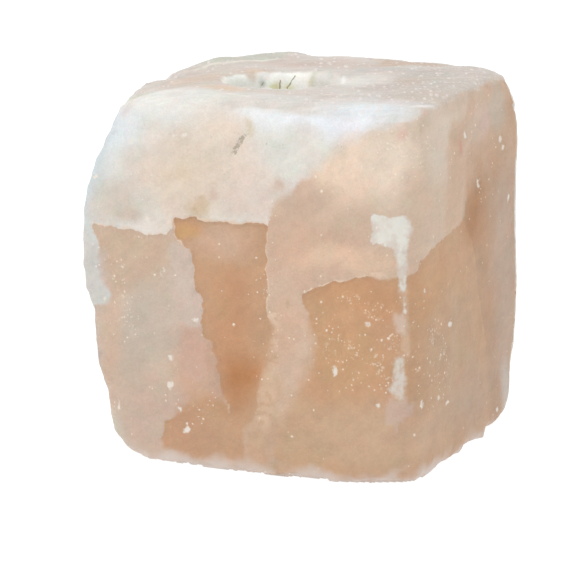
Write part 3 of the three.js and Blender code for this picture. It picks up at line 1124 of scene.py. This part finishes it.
@dataclass(frozen=True)
class Marks:
    """What knocks, dirt and wear have left on the salt: bruises, stains, a pit, flecks, partly painted
    glints, and a worn foot.
    """

    pit_width: float = 2.0
    pit_tail_width: float = 1.2
    pit_tail: float = 0.55
    front_only: float = -40.0
    foot: float = 6.5
    foot_strength: float = 0.85

    def paint(self, surface: Surface) -> None:
        """Lays the marks' shapes on the mesh.

        Args:
            surface: the mesh that takes them.
        """
        walls = surface.walls
        self.bruise(surface)
        stain = sum(np.exp(-(spot.away(walls) / spot.radius) ** 2 * 1.5) for spot in STAINS)
        surface.store("stain", np.clip(stain, 0, 1) * (surface.normals[:, 1] < 0.5))
        surface.store("dust", self.dust(surface))
        pit = ease(to_line(walls, PIT_PATH), self.pit_width, 0.3)
        pit += self.pit_tail * ease(to_line(walls, PIT_TAIL), self.pit_tail_width, 0.1)
        surface.store("pit", pit * (surface.y < self.front_only))
        low = ease(surface.z + 3.5 * surface.rough(9, 3.3, 3), self.foot, 0)
        surface.store("worn", low * self.foot_strength)

    def bruise(self, surface: Surface) -> None:
        """Lays the bruises on the mesh: how far inside them, how white and how faint each point is.

        Args:
            surface: the mesh that takes them.
        """
        walls = surface.walls
        inside = [distance_in(surface.jagged, outline) for outline in (BIG_BRUISE, LOW_BRUISE, EDGE_LINE)]
        inside += [spot.radius - spot.away(walls) for spot in SMALL_BRUISES]
        bruise = reduce(np.maximum, inside) - 12 * (surface.unseen > 0.5)
        surface.store("bruise_edge", np.clip(bruise, -EDGE_REACH, EDGE_REACH))
        big, low = distance_in(walls, BIG_BRUISE), distance_in(walls, LOW_BRUISE)
        surface.store("bruise_white", ease(np.maximum(big, low), -1, -3))
        tail, right = ease(surface.z, 87, 82), ease(walls[:, 0], 64, 67)
        faint = ease(low, -4, -2) + ease(big, -4, -2) * np.maximum(0.25 + 0.5 * right, 0.8 * tail)
        surface.store("bruise_faint", faint)

    def dust(self, surface: Surface) -> np.ndarray:
        """How thickly flecks lie on the block.

        Args:
            surface: the mesh's points.

        Returns:
            0 for bare to 1 for thick at each point, and a little more in a few places.
        """
        thick = reduce(np.maximum, [
            dust.amount * near(surface.walls, dust.centre, dust.reach, 1.3, 0.3) for dust in DUST])
        on_top = ease(surface.normals[:, 2], 0.6, 0.9) * (0.35 + 0.65 * ease(surface.x, 10, 40))
        uneven = np.maximum(thick, on_top) + 0.15 * surface.rough(9, 7.7)
        return np.clip(uneven, 0, 1 + 0.3 * (thick > 1))


@dataclass
class SaltBlock:
    """The block itself, made from the solid's own shape with the salt's fine relief added.

    Sizes are in millimetres.
    """

    front: float = -59.5
    weld: float = 0.001
    grid: float = 1.08
    foot: float = 0.4
    crust_step: float = 0.7
    skin_step: float = 0.8
    step_fade: float = 9.0
    lumps: float = 0.35
    corner_lumps: float = 0.75
    grain: float = 0.12
    pit_depth: float = 0.8
    bruise_depth: float = 0.35
    hollow: Hollow = field(default_factory=Hollow)
    layers: Layers = field(default_factory=Layers)
    marks: Marks = field(default_factory=Marks)
    finish: PinkSalt = field(default_factory=PinkSalt)

    def build(self, solid: bpy.types.Object) -> bpy.types.Object:
        """Builds the block.

        Args:
            solid: the solid that the block follows and stands for.

        Returns:
            The finished piece.
        """
        piece = self.skin_over(solid)
        surface = Surface(piece.data, self.front)
        self.layers.paint(surface, self.hollow, self.finish)
        self.hollow.paint(surface)
        self.marks.paint(surface)
        moved = surface.points + surface.normals * self.relief(surface)[:, None]
        for nudge in NUDGES:
            away = np.linalg.norm(surface.points - nudge.centre, axis=1)
            moved += ease(away, nudge.reach, 0)[:, None] * nudge.move
        moved[:, 2] = np.where(surface.z < self.foot, 0, np.maximum(moved[:, 2], 0))
        piece.data.vertices.foreach_set("co", (moved * MM).ravel())
        piece.data.shade_smooth()
        piece.data.update()
        self.finish.dress(piece)
        return piece

    def skin_over(self, solid: bpy.types.Object) -> bpy.types.Object:
        """Copies the solid, rounds its facets and gives it an even, fine mesh.

        Args:
            solid: the solid to copy.

        Returns:
            The new object.
        """
        shape = bmesh.new()
        shape.from_mesh(solid.data)
        bmesh.ops.remove_doubles(shape, verts=shape.verts, dist=self.weld * MM)
        rounded = placed("salt_crystal", shape)
        coarse = rounded.data
        rounding = rounded.modifiers.new("rounding", "SUBSURF")
        rounding.levels = rounding.render_levels = 1
        even = rounded.modifiers.new("even", "REMESH")
        even.mode = "VOXEL"
        even.voxel_size = self.grid * MM
        fine = bpy.data.meshes.new_from_object(rounded.evaluated_get(bpy.context.evaluated_depsgraph_get()))
        rounded.modifiers.clear()
        rounded.data = fine
        bpy.data.meshes.remove(coarse)
        fine.name = "salt_crystal"
        return rounded

    def relief(self, surface: Surface) -> np.ndarray:
        """How far the salt stands proud of the smooth shape.

        Args:
            surface: the mesh's points, with the layers' edges and the marks on them.

        Returns:
            One height for each point, in millimetres.
        """
        corner = ease(1 - np.abs(surface.normals).max(1), 0.02, 0.25)
        rise = surface.rough(9, 1.3, 3) * self.lumps * (0.5 + 1.3 * corner)
        rise += surface.rough(5.5, 4.9) * self.corner_lumps * corner + surface.rough(2.6, 2.9) * self.grain
        for name, step in (("skin", self.crust_step), ("heart", self.skin_step)):
            edge = surface.read(name + "_edge") * surface.read(name + "_crisp")
            rise -= step * ease(edge, -0.5, 0.6) * np.exp(-np.maximum(edge, 0) / self.step_fade)
        rise -= self.pit_depth * np.clip(surface.read("pit"), 0, 1)
        return rise - self.bruise_depth * ease(surface.read("bruise_edge"), -0.4, 0.6)


def placed(name: str, shape: bmesh.types.BMesh) -> bpy.types.Object:
    """Turns a shape into an object at the origin and frees it.

    Args:
        name: the name of the object and its mesh.
        shape: the shape, in metres.

    Returns:
        The object, linked to the scene.
    """
    mesh = bpy.data.meshes.new(name)
    shape.to_mesh(mesh)
    shape.free()
    piece = bpy.data.objects.new(name, mesh)
    bpy.context.scene.collection.objects.link(piece)
    return piece


@dataclass
class Studio:
    """The pale floor, the soft lights and the camera. Sizes are in millimetres and angles in degrees."""

    azimuth: float = 23.0
    elevation: float = 11.6
    distance: float = 988.0
    middle: Point = (0.0, 0.0, 65.5)
    aim_right: float = -6.8
    aim_up: float = -10.1
    lens: float = 171.0
    sensor: float = 36.0
    floor_size: float = 6000.0
    floor_shade: float = 0.2
    floor_glow: float = 0.9
    world: float = 1.0
    key_place: Point = (-500.0, -900.0, 1100.0)
    key_size: float = 900.0
    key_power: float = 5.0

    def build(self) -> None:
        """Sets up the floor, the lights and the camera."""
        self.lay_floor()
        self.surround()
        self.add_key_light()
        self.add_camera()
        bpy.context.scene.view_settings.view_transform = "Standard"

    def lay_floor(self) -> None:
        """Lays the floor under the block."""
        shape = bmesh.new()
        bmesh.ops.create_grid(shape, x_segments=1, y_segments=1, size=self.floor_size * MM / 2)
        floor = placed("floor", shape)
        material = bpy.data.materials.new("pale_floor")
        Graph(material).surface({
            "Base Color": np.full(3, self.floor_shade), "Roughness": 1.0, "Specular IOR Level": 0.0,
            "Emission Color": np.ones(3), "Emission Strength": self.floor_glow,
        })
        floor.data.materials.append(material)

    def surround(self) -> None:
        """Surrounds everything with even white light."""
        world = bpy.data.worlds.new("studio")
        world.use_nodes = True
        light = world.node_tree.nodes["Background"].inputs
        light["Color"].default_value = (1, 1, 1, 1)
        light["Strength"].default_value = self.world
        bpy.context.scene.world = world

    def add_key_light(self) -> None:
        """Adds the square soft light at the front left."""
        light = bpy.data.lights.new("key", "AREA")
        light.size = self.key_size * MM
        light.energy = self.key_power
        self.point(light, Vector(self.key_place), Vector(self.middle))

    def add_camera(self) -> None:
        """Sets the camera up where the photograph was taken from."""
        turn, lift = math.radians(self.azimuth), math.radians(self.elevation)
        back = Vector((math.sin(turn) * math.cos(lift), -math.cos(turn) * math.cos(lift), math.sin(lift)))
        right = Vector((math.cos(turn), math.sin(turn), 0))
        aim = Vector(self.middle) + right * self.aim_right + back.cross(right) * self.aim_up
        camera = bpy.data.cameras.new("camera")
        camera.lens = self.lens
        camera.sensor_width = self.sensor
        bpy.context.scene.camera = self.point(camera, Vector(self.middle) + back * self.distance, aim)

    def point(self, thing: bpy.types.ID, eye: Vector, aim: Vector) -> bpy.types.Object:
        """Places a light or a camera and points it.

        Args:
            thing: the light or the camera.
            eye: where it is, in millimetres.
            aim: the place that it looks at, in millimetres.

        Returns:
            The object that holds it.
        """
        holder = bpy.data.objects.new(thing.name, thing)
        holder.location = eye * MM
        holder.rotation_euler = (aim - eye).to_track_quat("-Z", "Y").to_euler()
        bpy.context.scene.collection.objects.link(holder)
        return holder


def main() -> None:
    """Builds the block and the studio in order, and notes how many points the block has."""
    logging.basicConfig(level=logging.INFO, format="%(message)s")
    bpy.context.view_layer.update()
    block = SaltBlock().build(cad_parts["salt_block"])
    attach(block, "root")
    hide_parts("salt_block")
    log.info("salt_crystal: %d points", len(block.data.vertices))
    Studio().build()
    log.info("studio: floor, lights and camera")


if __name__ == "__main__":
    main()
